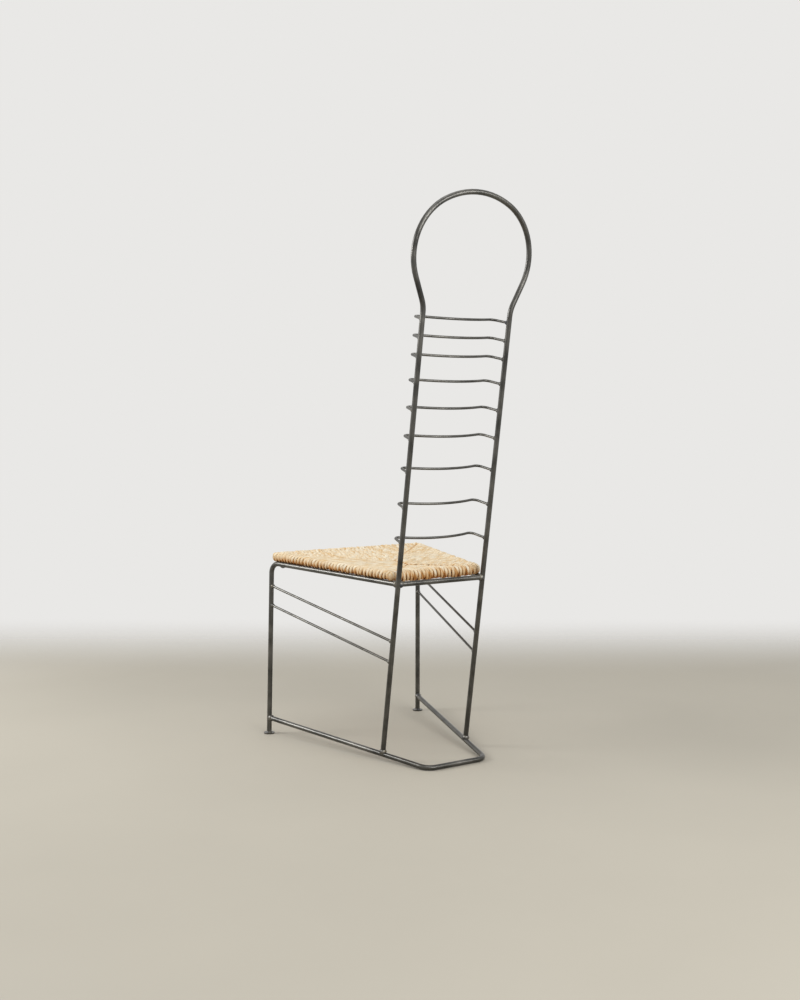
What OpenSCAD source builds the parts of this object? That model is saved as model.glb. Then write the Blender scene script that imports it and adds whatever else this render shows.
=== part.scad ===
// Straw seat chair: a frame of bent and welded round steel rod, with a tall slatted back
// that ends in a round head loop, and a woven rush seat pad on its rails.
// Millimetres. +Z is up, the sitter faces -Y and the sitter's left is +X. The origin is on
// the floor, under the middle of the chair's outline.

/* [Rod] */
// Diameter of the frame's main rod
rod_d = 12; // [9:0.5:15]
// Diameter of the slats and the struts
slim_d = 6; // [4:0.5:8]

/* [Seat frame] */
// Height of the side rails' centre lines at the front corners
seat_h = 430; // [400:5:480]
// How much lower the side rails lie at the uprights than at the front corners
seat_drop = 13; // [2:1:30]
// Depth from the front corners to the uprights
seat_depth = 422; // [380:2:460]
// Width between the side rails' centre lines at the front corners
seat_front_w = 435; // [380:5:480]
// Width between the uprights' centre lines
back_w = 235; // [210:5:250]
// Bend radius of the front corners, on the rod's centre line
corner_r = 25; // [18:1:40]
// Straight length of side rail between the corner's bend and the front rail
front_rail_gap = 9; // [7:1:30]

/* [Front legs] */
// How far each foot stands outside its front corner
leg_out = 6; // [0:1:20]
// How far each foot stands in front of its front corner
leg_forward = 9; // [0:1:20]
// Diameter of the foot discs
foot_d = 26; // [20:1:36]
// Thickness of the foot discs
foot_t = 3; // [2:0.5:5]

/* [Base rod] */
// Height at which the base rod joins the front legs
base_h = 40; // [30:1:60]
// How far the base rod's rear bar lies behind the uprights' place at seat height
base_tail = 64; // [40:2:90]
// Bend radius of the base rod's rear corners, on its centre line
base_r = 30; // [20:1:40]

/* [Back] */
// Lean of the back from upright, in degrees
back_lean = 9.25; // [6:0.25:13]
// Straight length of the uprights from the seat rails to the neck's bends
neck_h = 607; // [500:1:680]
// Bend radius of the neck
neck_r = 70; // [50:1:90]
// Angle by which the neck flares outwards, in degrees
flare = 23.5; // [20:0.5:28]
// Width of the head loop, centre line to centre line
loop_w = 309; // [296:1:320]
// Bend radius of the head loop's sides
loop_side_r = 130; // [122:1:134]
// Bend radius of the head loop's top
loop_top_r = 183; // [172:1:220]

/* [Slats] */
// Height of the lowest slat above the seat rails, measured up the back
slat_low = 94; // [70:1:120]
// Distance of the top slat below the neck's bends, measured up the back
slat_under_neck = 14; // [8:1:40]
// How far the slats' corners reach in front of the uprights' centre lines
slat_reach = 46; // [36:1:60]
// How far the slats' corners lie inside the uprights' centre lines
slat_inset = 7; // [4:0.5:14]
// Bend radius of the slats' corners
slat_r = 12; // [9:1:16]
// How far the middle of a slat bows back from its corners
slat_bow = 17.5; // [10:0.5:24]
// How far the slats point up from square to the uprights, in degrees
slat_tilt = 3; // [0:0.5:6]

/* [Side struts] */
// Height of the upper strut's centre line at the front leg
strut_h = 373; // [330:1:385]
// How much lower a strut lies at the upright than at the leg
strut_drop = 90; // [60:1:120]
// Height between the upper and the lower strut
strut_gap = 48; // [30:1:70]

/* [Seat pad] */
// Thickness of the woven pad
pad_t = 21.5; // [20:0.5:26]
// How far the pad's sides reach beyond the side rails' centre lines
pad_overhang = 3.5; // [0:0.5:6]
// How far the pad's front edge reaches in front of the front corners
pad_front = 1; // [-4:1:10]
// Gap from the uprights' centre lines to the pad's rear edge
pad_back_gap = 16.5; // [12:0.5:30]
// Thickness of the woven layer
weave_t = 5; // [3:0.5:5]
// Width of the wooden rails that the pad is woven on
batten_w = 24; // [20:1:32]
// Diameter of the dowels in the wooden frame
dowel_d = 6; // [4:0.5:7]
// Length of the dowels
dowel_l = 26; // [20:1:32]

/* [Seat fixings] */
// Width of a lug along its rail
lug_w = 26; // [20:1:36]
// Thickness of a lug
lug_t = 3; // [2:0.5:4]
// Margin of lug metal past the screw's centre
lug_margin = 9; // [7:1:12]
// Distance from the pad's ends to the screws
screw_inset = 70; // [50:5:110]
// Diameter of the screws
screw_d = 4; // [3:0.5:5]
// Diameter of the screws' heads
screw_head_d = 8; // [7:0.5:10]
// Height of the screws' heads
screw_head_t = 2.5; // [2:0.5:3]
// Length of thread in the wood
screw_bite = 9; // [6:0.5:10]

/* [Fits] */
// Gap under and around the pieces of the pad
pad_fit = 0.3; // [0.2:0.05:0.5]
// Radial gap of the screws in the lugs and the weave
screw_slack = 0.4; // [0.2:0.1:0.6]
// Radial gap of screws and dowels in the wood
wood_fit = 0.05; // [0.02:0.01:0.1]
// How far a weld bead stands out from the rod that it holds
bead = 2.4; // [1:0.2:3]
// How much thicker the bends are than the straight rod that ends in them
bend_swell = 0.1; // [0.06:0.02:0.2]

/* [Hidden] */
$fn = 48;

// Gaps between neighbouring slats from the lowest up, closing towards the neck. They share
// out the height between the lowest and the top slat.
slat_gaps = [80, 81, 74, 64, 61, 56, 42, 41];

// The two sides of the chair
LEFT = 1;
RIGHT = -1;

rod_r = rod_d / 2;
slim_r = slim_d / 2;

// Head loop, in the plane of the back: x across, v up the back from the seat rails
neck_out = neck_r * (1 - cos(flare));
side_x = loop_w / 2 - loop_side_r;
flank_top_x = side_x + loop_side_r * cos(flare);
flank = (flank_top_x - back_w / 2 - neck_out) / sin(flare);
flank_low = [back_w / 2 + neck_out, neck_h + neck_r * sin(flare), 0];
flank_top = flank_low + flank * [sin(flare), cos(flare), 0];
side_v = flank_top.y + loop_side_r * sin(flare);
crown_a = acos(side_x / (loop_top_r - loop_side_r));
crown_v = side_v - (loop_top_r - loop_side_r) * sin(crown_a);
loop_v = crown_v + loop_top_r;

// The uprights' place at seat height puts the origin midway between the foot discs' front
// and the loop's rear
front_reach = seat_depth + leg_forward + foot_d / 2;
rear_reach = loop_v * sin(back_lean) + rod_r;
back_y = (front_reach - rear_reach) / 2;
rail_back_h = seat_h - seat_drop;

function unit(v) = v / norm(v);
function mix(a, b, t) = a + (b - a) * t;
function toward(a, b, s) = a + unit(b - a) * s;

function foot_pt(s) = [s * (seat_front_w / 2 + leg_out), back_y - seat_depth - leg_forward, 0];
function corner_pt(s) = [s * seat_front_w / 2, back_y - seat_depth, seat_h];
function leg_pt(s, h) = mix(foot_pt(s), corner_pt(s), h / seat_h);
function back_pt(s, v) = [s * back_w / 2, back_y + v * sin(back_lean), rail_back_h + v * cos(back_lean)];
function upright_pt(s, h) = back_pt(s, (h - rail_back_h) / cos(back_lean));
function rail_pt(s, run) = mix(corner_pt(s), back_pt(s, 0), run / seat_depth);
// The slanted legs and their welds stand on the flat feet at this height
leg_low = foot_t + (rod_r + bead) * norm([leg_out, leg_forward]) / seat_h;

// Base rod: its sides run from the legs under the uprights' feet, down to the rear bar
base_leg = leg_pt(LEFT, base_h);
tail_y = back_y + base_tail;
// The rear corners' thicker bends lie on the floor
rear_h = rod_r + bend_swell / 2;
base_fall = (base_h - rear_h) / (tail_y - base_leg.y);
upright_low_v = (base_h - base_fall * (back_y - base_leg.y) - rail_back_h)
              / (cos(back_lean) + base_fall * sin(back_lean));
upright_low = back_pt(LEFT, upright_low_v);
tail_x = mix(base_leg.x, upright_low.x, (tail_y - base_leg.y) / (upright_low.y - base_leg.y));
function tail_pt(s) = [s * tail_x, tail_y, rear_h];
function mirrored(p, s) = [s * p.x, p.y, p.z];

// A rod that ends on another one stops this far short of its centre line, and is then
// cut to the other rod's round
rod_stop = 0.5 * rod_r;
slim_stop = sqrt(rod_r * rod_r - slim_r * slim_r) - 0.2;
// How far a straight reaches into a bend, so that the two are one solid
bend_bite = 0.2;
// How far the centre of a weld bead lies from the axis of the rod that it sits on
bead_out = rod_r - 0.5;
// A base rod's bead lies further out, so that its sides end before the rounds of the two
// equal rods touch. They reach out by this much of the rod's radius.
base_bead_reach = 0.97;
base_bead_out = sqrt(pow(rod_r + bead, 2) - pow(base_bead_reach * rod_r, 2));
// The front seat welds are cut flat this far under what carries the pad
bead_clear = 0.5;

// Slats: half of one is a straight end, a corner and half of a wide arc
slat_end = [back_w / 2, 0, 0];
slat_corner = [slat_end.x - slat_inset - slat_r, slat_reach - slat_r, 0];
slat_span_r = (pow(slat_corner.x, 2) + pow(slat_bow, 2)) / (2 * slat_bow);
slat_arc_r = slat_span_r - slat_r;
slat_arc_y = slat_corner.y - slat_bow + slat_span_r;
slat_arc_a = asin(slat_corner.x / slat_span_r);
slat_away = slat_end - slat_corner;
slat_touch_a = atan2(slat_away.y, slat_away.x) + acos(slat_r / norm(slat_away));
slat_touch = slat_corner + slat_r * [cos(slat_touch_a), sin(slat_touch_a), 0];

function sum(list, count) = count <= 0 ? 0 : list[count - 1] + sum(list, count - 1);
slat_rise = neck_h - slat_under_neck - slat_low;
function slat_v(i) = slat_low + slat_rise * sum(slat_gaps, i) / sum(slat_gaps, len(slat_gaps));

// Seat plane: x across, y along the rails with 0 at the uprights, z square to the rails
seat_len = norm([seat_depth, seat_drop]);
seat_slope = atan2(seat_drop, seat_depth);
seat_taper = atan2((seat_front_w - back_w) / 2, seat_len);
pad_front_y = -seat_len - pad_front;
pad_rear_y = -pad_back_gap;
// The pad's round edges lie on the side rails, a little lower than the rails' tops
edge_r = pad_t / 2;
pad_mid_z = sqrt(pow(rod_r + edge_r + pad_fit, 2) - pow(edge_r - pad_overhang, 2));
pad_low_z = pad_mid_z - edge_r;
// What carries the pad's flat underside reaches up to here
seat_z = pad_low_z - pad_fit;
wood_t = pad_t - 2 * (weave_t + pad_fit);
wood_r = wood_t / 2;
// The battens' round outer edges stand out this much from their flat faces
wood_step = 0.3;
screw_in = edge_r + batten_w / 2;
screw_rows = [pad_front_y + screw_inset, pad_rear_y - screw_inset];
screw_top = pad_mid_z - wood_r + screw_bite;

function rail_x(y) = back_w / 2 - y * tan(seat_taper);
// X of the pad's side at y, moved in from its edge
function pad_x(y, inset) = rail_x(y) + pad_overhang - inset / cos(seat_taper);
// Corners of the pad's outline, moved in from its edge
function pad_outline(inset) = [
    for (end = [[pad_rear_y - inset, 1], [pad_rear_y - inset, -1],
                [pad_front_y + inset, -1], [pad_front_y + inset, 1]])
        [end[1] * pad_x(end[0], inset), end[0]]];

// Turns +Z to the direction v
module aim(v) {
    rotate([0, acos(v.z / norm(v)), atan2(v.y, v.x)]) children();
}

// A straight round rod from a to b
module rod(a, b, d) {
    translate(a) aim(b - a) cylinder(d = d, h = norm(b - a));
}

// Length of the straight that a bend of radius r takes off at the corner p
function bend_run(a, p, b, r) = r / tan(acos(unit(a - p) * unit(b - p)) / 2);

// The bend at the corner p between the points a and b
module bend(a, p, b, r, d) {
    run = bend_run(a, p, b, r);
    first = toward(p, a, run);
    last = toward(p, b, run);
    centre = p + unit(unit(a - p) + unit(b - p)) * norm([r, run]);
    w1 = first - centre;
    w2 = last - centre;
    axis = unit(cross(w1, w2));
    tip = acos(axis.z);
    yaw = atan2(axis.y, axis.x);
    side = [-sin(yaw), cos(yaw), 0];
    roll = atan2(w1 * side, w1 * cross(side, axis));
    translate(centre) rotate([0, tip, yaw]) rotate(roll)
        rotate_extrude(angle = acos(unit(w1) * unit(w2))) translate([r, 0]) circle(d = d);
}

// Where the straight run of a rod along the points leaves its corner i for the corner j
function run_end(points, i, j, r) =
    i == 0 || i == len(points) - 1 ? points[i]
    : toward(points[i], points[j], bend_run(points[i - 1], points[i], points[i + 1], r) - bend_bite);

// A rod along the points, with a bend of radius r at each corner
module bent_rod(points, r, d) {
    last = len(points) - 1;
    for (i = [1:last]) rod(run_end(points, i - 1, i, r), run_end(points, i, i - 1, r), d);
    for (i = [1:last - 1]) bend(points[i - 1], points[i], points[i + 1], r, d + bend_swell);
}

// An arc of rod in the XY plane
module arc(centre, r, from, to, d) {
    translate([centre.x, centre.y, 0]) rotate(from)
        rotate_extrude(angle = to - from) translate([r, 0]) circle(d = d);
}

// A tight arc, in which its neighbours end
module tight_arc(centre, r, from, to, d) {
    arc(centre, r, from, to, d + bend_swell);
}

// A wide arc, that reaches into a tight one at both ends
module wide_arc(centre, r, from, to, d) {
    bite = bend_bite / r * 180 / PI;
    arc(centre, r, from - bite, to + bite, d);
}

module both_sides() {
    children();
    mirror([1, 0, 0]) children();
}

// The plane of the back: x across, y up the back
module on_back() {
    translate([0, back_y, rail_back_h]) rotate([90 - back_lean, 0, 0]) children();
}

// The plane of the seat
module on_seat() {
    translate([0, back_y, rail_back_h]) rotate([-seat_slope, 0, 0]) children();
}

// Full-length straight rods, as the pieces that end on them meet them
module upright_line(s) {
    rod(upright_pt(s, 0), back_pt(s, neck_h), rod_d);
}

module leg_line(s) {
    rod(foot_pt(s), leg_pt(s, seat_h - corner_r), rod_d);
}

module rail_line(s) {
    rod(rail_pt(s, corner_r), back_pt(s, 0), rod_d);
}

module base_side_line(s) {
    rod(leg_pt(s, base_h), tail_pt(s), rod_d);
}

module back_frame() {
    color("dimgray") difference() {
        union() {
            for (s = [LEFT, RIGHT])
                rod(back_pt(s, upright_low_v + rod_stop), back_pt(s, neck_h + bend_bite), rod_d);
            on_back() {
                both_sides() {
                    tight_arc([back_w / 2 + neck_r, neck_h], neck_r, 180 - flare, 180, rod_d);
                    rod(toward(flank_low, flank_top, -bend_bite), toward(flank_top, flank_low, -bend_bite), rod_d);
                    tight_arc([side_x, side_v], loop_side_r, -flare, crown_a, rod_d);
                }
                wide_arc([0, crown_v], loop_top_r, crown_a, 180 - crown_a, rod_d);
            }
        }
        for (s = [LEFT, RIGHT]) base_side_line(s);
    }
}

module leg_and_rail(s) {
    color("dimgray") difference() {
        bent_rod([leg_pt(s, leg_low), corner_pt(s), toward(back_pt(s, 0), corner_pt(s), rod_stop)],
                 corner_r, rod_d);
        upright_line(s);
    }
}

// Ends of a rod across the chair between the side rails, at a distance back from the front
// corners. A drop puts it lower than the side rails.
function cross_pt(s, run, drop) = rail_pt(s, run) - [0, 0, drop];
front_run = corner_r + front_rail_gap;
front_drop = rod_r - seat_z;

module cross_rail(run, drop) {
    left = cross_pt(LEFT, run, drop);
    right = cross_pt(RIGHT, run, drop);
    rod(toward(left, right, rod_stop), toward(right, left, rod_stop), rod_d);
}

module front_seat_rail() {
    color("dimgray") difference() {
        cross_rail(front_run, front_drop);
        for (s = [LEFT, RIGHT]) rail_line(s);
    }
}

module back_seat_rail() {
    color("dimgray") difference() {
        cross_rail(seat_depth, 0);
        for (s = [LEFT, RIGHT]) {
            upright_line(s);
            rail_line(s);
        }
    }
}

module base_rod() {
    color("dimgray") difference() {
        bent_rod([toward(leg_pt(LEFT, base_h), tail_pt(LEFT), rod_stop), tail_pt(LEFT),
                  tail_pt(RIGHT), toward(leg_pt(RIGHT, base_h), tail_pt(RIGHT), rod_stop)],
                 base_r, rod_d);
        for (s = [LEFT, RIGHT]) leg_line(s);
    }
}

module foot(s) {
    color("dimgray") translate(foot_pt(s)) cylinder(d = foot_d, h = foot_t);
}

// A slat in its own plane: x across, y forwards from the uprights
module slat_shape() {
    both_sides() {
        rod(toward(slat_end, slat_touch, slim_stop), toward(slat_touch, slat_end, -bend_bite), slim_d);
        tight_arc(slat_corner, slat_r, slat_touch_a, 90 + slat_arc_a, slim_d);
    }
    wide_arc([0, slat_arc_y], slat_arc_r, -90 - slat_arc_a, -90 + slat_arc_a, slim_d);
}

module on_slat(i) {
    translate([0, back_pt(LEFT, slat_v(i)).y, back_pt(LEFT, slat_v(i)).z])
        rotate([180 - back_lean - slat_tilt, 0, 0]) children();
}

// Slats are counted from the lowest, 0, up
module slat(i) {
    color("dimgray") difference() {
        on_slat(i) slat_shape();
        for (s = [LEFT, RIGHT]) upright_line(s);
    }
}

function strut_leg(s, low) = leg_pt(s, strut_h - low * strut_gap);
function strut_upright(s, low) = upright_pt(s, strut_h - strut_drop - low * strut_gap);

// low is 0 for an upper strut and 1 for a lower one
module strut(s, low) {
    a = strut_leg(s, low);
    b = strut_upright(s, low);
    color("gray") difference() {
        rod(toward(a, b, slim_stop), toward(b, a, slim_stop), slim_d);
        leg_line(s);
        upright_line(s);
    }
}

// A bead of weld where a rod of diameter d, which comes from p, ends on the rod through at.
// tip turns the ball's poles away from what is cut out of it.
module weld_ball(at, p, d, tip = 0, out = bead_out) {
    translate(toward(at, p, out)) rotate([tip, 0, 0]) sphere(r = d / 2 + bead);
}

module seat_welds() {
    color("silver") for (s = [LEFT, RIGHT]) {
        difference() {
            union() {
                weld_ball(back_pt(s, 0), corner_pt(s), rod_d);
                weld_ball(back_pt(s, 0), back_pt(-s, 0), rod_d);
            }
            upright_line(s);
            rail_line(s);
            cross_rail(seat_depth, 0);
        }
        difference() {
            weld_ball(cross_pt(s, front_run, front_drop), cross_pt(-s, front_run, front_drop), rod_d, 90);
            rail_line(s);
            cross_rail(front_run, front_drop);
            on_seat() translate([-seat_front_w, pad_front_y, seat_z - bead_clear])
                cube([2 * seat_front_w, seat_depth, rod_d]);
        }
    }
}

module base_welds() {
    color("silver") for (s = [LEFT, RIGHT]) {
        difference() {
            weld_ball(leg_pt(s, base_h), tail_pt(s), rod_d, out = base_bead_out);
            leg_line(s);
            rod(toward(leg_pt(s, base_h), tail_pt(s), -rod_d), tail_pt(s), rod_d);
        }
        difference() {
            weld_ball(mirrored(upright_low, s), back_pt(s, 0), rod_d, out = base_bead_out);
            upright_line(s);
            base_side_line(s);
        }
    }
}

module foot_welds() {
    color("silver") for (s = [LEFT, RIGHT])
        translate(leg_pt(s, leg_low)) aim(corner_pt(s) - foot_pt(s)) rotate_extrude()
            polygon([[rod_r, 0], [rod_r + bead, 0], [rod_r + bead / 4, bead], [rod_r, bead]]);
}

module strut_welds() {
    color("silver") for (s = [LEFT, RIGHT], low = [0, 1]) difference() {
        union() {
            weld_ball(strut_leg(s, low), strut_upright(s, low), slim_d);
            weld_ball(strut_upright(s, low), strut_leg(s, low), slim_d);
        }
        leg_line(s);
        upright_line(s);
        rod(strut_leg(s, low), strut_upright(s, low), slim_d);
    }
}

module slat_welds() {
    color("silver") for (i = [0:len(slat_gaps)]) difference() {
        on_slat(i) both_sides() difference() {
            weld_ball(slat_end, slat_touch, slim_d);
            rod(slat_end, slat_touch, slim_d);
        }
        for (s = [LEFT, RIGHT]) upright_line(s);
    }
}

// A slab with round edges and corners of radius r, round the pad's edge centres
module round_slab(r) {
    hull() for (corner = pad_outline(edge_r))
        translate([corner.x, corner.y, pad_mid_z]) sphere(r, $fn = 32);
}

// Places the screws, in seat coordinates
module at_screws() {
    for (s = [LEFT, RIGHT], y = screw_rows) translate([s * pad_x(y, screw_in), y, 0]) children();
}

module rush_weave() {
    color("burlywood") on_seat() difference() {
        round_slab(edge_r);
        round_slab(wood_r + pad_fit);
        at_screws() cylinder(d = screw_d + 2 * screw_slack, h = pad_mid_z);
    }
}

// A board of the wooden frame along the pad's edge, with a round outer edge. It runs on at
// both ends by its own width.
module board(a, b) {
    run = b - a;
    flat = wood_r - wood_step;
    translate([a.x, a.y, pad_mid_z]) rotate(atan2(run.y, run.x)) translate([-batten_w, 0, 0]) {
        translate([0, 0, -flat]) cube([norm(run) + 2 * batten_w, batten_w, 2 * flat]);
        rotate([0, 90, 0]) cylinder(r = wood_r, h = norm(run) + 2 * batten_w);
    }
}

// A tall block over the outline's inside, between the insets of its sides and of its ends
module pad_block(side_inset, end_inset) {
    ends = [pad_rear_y - end_inset, pad_front_y + end_inset];
    linear_extrude(2 * pad_mid_z) polygon([
        for (corner = [[1, ends[0]], [-1, ends[0]], [-1, ends[1]], [1, ends[1]]])
            [corner[0] * pad_x(corner[1], side_inset), corner[1]]]);
}

// Rows and middle planes of the dowels, which join the end battens to the side ones
dowel_rows = [for (y = [pad_front_y + screw_in, pad_rear_y - screw_in], step = [-1, 1]) y + step * batten_w / 4];

module at_dowels() {
    for (y = dowel_rows, s = [LEFT, RIGHT])
        translate([s * pad_x(y, edge_r + batten_w), y, pad_mid_z]) rotate([0, 90, 0]) children();
}

module dowel_holes() {
    at_dowels() cylinder(d = dowel_d + 2 * wood_fit, h = dowel_l, center = true);
}

module side_batten(s) {
    corners = pad_outline(edge_r);
    color("tan") on_seat() difference() {
        intersection() {
            if (s == LEFT) board(corners[3], corners[0]);
            else board(corners[1], corners[2]);
            pad_block(-edge_r, edge_r);
        }
        dowel_holes();
        at_screws() cylinder(d = screw_d + 2 * wood_fit, h = screw_top);
    }
}

module end_batten(a, b) {
    color("tan") on_seat() difference() {
        intersection() {
            board(a, b);
            pad_block(edge_r + batten_w, -edge_r);
        }
        dowel_holes();
    }
}

module front_batten() {
    corners = pad_outline(edge_r);
    end_batten(corners[2], corners[3]);
}

module back_batten() {
    corners = pad_outline(edge_r);
    end_batten(corners[0], corners[1]);
}

module batten_dowels() {
    color("wheat") on_seat() at_dowels() cylinder(d = dowel_d, h = dowel_l - 1, center = true);
}

module rush_stuffing() {
    inset = edge_r + batten_w + pad_fit;
    color("khaki") on_seat() intersection() {
        pad_block(inset, inset);
        translate([-seat_front_w, pad_front_y, pad_mid_z - wood_r]) cube([2 * seat_front_w, seat_len, wood_t]);
    }
}

module seat_lugs() {
    start = 0.7 * rod_r;
    color("dimgray") difference() {
        on_seat() difference() {
            for (s = [LEFT, RIGHT], y = screw_rows) {
                reach = rail_x(y) - pad_x(y, screw_in) + lug_margin;
                translate([s * rail_x(y), y, seat_z - lug_t]) rotate(s * seat_taper)
                    translate([s == LEFT ? -reach : start, -lug_w / 2, 0]) cube([reach - start, lug_w, lug_t]);
            }
            at_screws() cylinder(d = screw_d + 2 * screw_slack, h = pad_mid_z);
        }
        for (s = [LEFT, RIGHT]) rail_line(s);
    }
}

module seat_screws() {
    head_z = seat_z - lug_t;
    color("silver") on_seat() at_screws() {
        translate([0, 0, head_z - screw_head_t]) cylinder(d = screw_head_d, h = screw_head_t);
        translate([0, 0, head_z]) cylinder(d = screw_d, h = screw_top - 1 - head_z);
    }
}

back_frame();
leg_and_rail(LEFT);  // left_leg_and_rail
leg_and_rail(RIGHT);  // right_leg_and_rail
front_seat_rail();
back_seat_rail();
base_rod();
foot(LEFT);  // left_foot
foot(RIGHT);  // right_foot
for (i = [0:len(slat_gaps)])
    slat(i);
strut(LEFT, 0);  // left_upper_strut
strut(LEFT, 1);  // left_lower_strut
strut(RIGHT, 0);  // right_upper_strut
strut(RIGHT, 1);  // right_lower_strut
seat_welds();
base_welds();
foot_welds();
strut_welds();
slat_welds();
rush_weave();
side_batten(LEFT);  // left_batten
side_batten(RIGHT);  // right_batten
front_batten();
back_batten();
batten_dowels();
rush_stuffing();
seat_lugs();
seat_screws();
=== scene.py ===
"""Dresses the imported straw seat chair: bare dark steel rod, brushed weld beads and a pad woven
from twisted rush, on a plain pale stage. Everything is in metres, in the frame of the CAD."""

import math
import random
from collections import namedtuple

import bmesh
import bpy
from bpy.props import FloatProperty, FloatVectorProperty, IntProperty, PointerProperty
from mathutils import Matrix, Vector, noise


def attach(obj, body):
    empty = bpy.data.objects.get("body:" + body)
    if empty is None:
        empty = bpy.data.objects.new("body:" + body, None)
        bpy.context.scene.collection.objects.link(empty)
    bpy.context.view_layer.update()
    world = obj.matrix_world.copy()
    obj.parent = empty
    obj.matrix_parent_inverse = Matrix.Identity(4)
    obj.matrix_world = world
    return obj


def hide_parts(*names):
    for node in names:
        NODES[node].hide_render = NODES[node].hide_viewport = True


bl_info = {
    "name": "Straw seat chair",
    "version": (1, 0, 0),
    "blender": (4, 5, 0),
    "location": "3D View > Sidebar > Chair",
    "description": "Dresses the steel and rush of a chair around its CAD frame",
    "category": "Object",
}

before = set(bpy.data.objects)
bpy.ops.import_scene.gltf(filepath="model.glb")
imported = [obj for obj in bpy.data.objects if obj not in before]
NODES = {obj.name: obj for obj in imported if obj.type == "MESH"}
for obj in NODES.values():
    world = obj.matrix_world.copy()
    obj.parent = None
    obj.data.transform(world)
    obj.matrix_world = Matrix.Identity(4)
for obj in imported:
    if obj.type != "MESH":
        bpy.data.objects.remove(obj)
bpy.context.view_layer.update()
MM = 0.001


def linear(code):
    """The linear colour of an sRGB hex value, with full alpha."""
    parts = [int(code[i:i + 2], 16) / 255 for i in (0, 2, 4)]
    return [p / 12.92 if p <= 0.04045 else ((p + 0.055) / 1.055) ** 2.4 for p in parts] + [1.0]


def smooth(low, high, value):
    """0 below low and 1 above high, with a smooth way between."""
    t = min(max((value - low) / (high - low), 0.0), 1.0)
    return t * t * (3 - 2 * t)


# Sizes and colours that a user would change

def length(name, description, default):
    """A length that a user may set."""
    return FloatProperty(name=name, description=description, default=default, unit="LENGTH", precision=4)


def colour(name, description, code):
    """A colour that a user may set, from its sRGB hex value."""
    return FloatVectorProperty(name=name, description=description, default=linear(code), size=4,
                               subtype="COLOR", min=0.0, max=1.0)


class ChairSeatSizes(bpy.types.PropertyGroup):
    """The pad's place and outline, as the CAD has them, in seat coordinates"""
    uprights_y: length("Uprights", "Place of the uprights at the height of the seat rails", 149.101 * MM)
    rails_z: length("Rails' height", "Height of the seat rails at the uprights", 417 * MM)
    slope: FloatProperty(name="Slope", description="Rise of the seat towards the front",
                         default=math.atan2(13, 422), subtype="ANGLE")
    taper: FloatProperty(name="Taper", description="Angle of each side rail from the middle plane",
                         default=math.atan2(100, 422.2), subtype="ANGLE")
    rear_y: length("Rear edge", "Place of the pad's rear edge", -16.5 * MM)
    front_y: length("Front edge", "Place of the pad's front edge", -423.2 * MM)
    rear_half: length("Half the rear width", "From the middle to the rear corner", 124.9 * MM)
    front_half: length("Half the front width", "From the middle to the front corner", 221.24 * MM)
    mid_z: length("Middle plane", "Height of the pad's middle plane over the rails", 15.43 * MM)
    edge_r: length("Edge radius", "Radius of the pad's round edges", 10.75 * MM)
    corner_r: length("Corner radius", "Radius of the pad's corners, seen from above", 10 * MM)
    wood_r: length("Half the wood", "Half the thickness of the battens and the stuffing", 5.45 * MM)
    batten_w: length("Batten width", "Width of the wooden battens inside", 24 * MM)


class ChairRushSizes(bpy.types.PropertyGroup):
    """The twisted rush that the pad is woven from"""
    thickness: length("Thickness", "Thickness of a strand", 5.1 * MM)
    twist: length("Twist", "Length of one full turn of a strand's two plies", 46 * MM)
    ply: FloatProperty(name="Ply groove", description="Depth of the groove between the plies, as a share",
                       default=0.34, subtype="FACTOR")
    step: length("Ring step", "Distance between the rings of a strand's mesh", 3 * MM)
    square: FloatProperty(name="Squareness", description="Power of the section's rounding, 1 for a circle",
                          default=0.86)
    sides: IntProperty(name="Sides", description="Corners of a strand's section", default=12)
    sag: length("Sag", "How far the middle of the seat has sunk", 4 * MM)
    roll_dip: length("Dip behind the roll", "How far the top drops behind the rolled edges", 1.4 * MM)
    pile: length("Corner pile", "How far the weave swells up and down at the corners", 1.8 * MM)
    tuck: length("Tuck", "How far a strand runs on under the strands that cross it", 7 * MM)
    front_count: IntProperty(name="Front strands", default=42,
                             description="Strands along the front edge, if its corners were square")
    rear_count: IntProperty(name="Rear strands", default=24,
                            description="Strands along the rear edge, if its corners were square")
    side_count: IntProperty(name="Side strands", default=39,
                            description="Strands along each side, if its corners were square")
    top_ends: IntProperty(name="Ends on top", description="Leaf ends sprung out on top", default=24)
    under_ends: IntProperty(name="Ends below", description="Leaf ends that hang under the pad", default=36)


class ChairColours(bpy.types.PropertyGroup):
    """Colours of the chair and its stage"""
    steel_dark: colour("Mill scale", "Darker patches of the rolled steel", "2c2c2a")
    steel_light: colour("Rubbed steel", "Lighter patches of the rolled steel", "686661")
    weld: colour("Weld", "Brushed weld metal", "605e5a")
    zinc: colour("Zinc", "Plating of the screws", "b4b6b2")
    rush_pale: colour("Pale rush", "The palest leaves", "f4e8cf")
    rush_straw: colour("Straw rush", "Most of the leaves", "ebd6b2")
    rush_gold: colour("Golden rush", "The most golden leaves", "dcb272")
    rush_brown: colour("Brown rush", "Stained streaks and knots", "8f5f30")
    beech: colour("Beech", "Late wood of the battens", "c79d6e")
    floor: colour("Floor", "The stage's floor", "bdb7a9")
    backdrop: colour("Backdrop", "What lies behind the chair", "e9e8e6")


# Materials

def add(tree, kind, settings=None, inputs=None):
    """Adds a node of a kind with its settings. An input is a value, or a socket to link from. A Mix
    node's sockets go by number: in 0 is the factor, 2 and 3 are floats, 4 and 5 vectors, 6 and 7
    colours, and out 0 is the float, 1 the vector and 2 the colour."""
    node = tree.nodes.new("ShaderNode" + kind)
    for name, value in (settings or {}).items():
        setattr(node, name, value)
    for name, value in (inputs or {}).items():
        if isinstance(value, bpy.types.NodeSocket):
            tree.links.new(value, node.inputs[name])
        else:
            node.inputs[name].default_value = value
    return node


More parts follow.
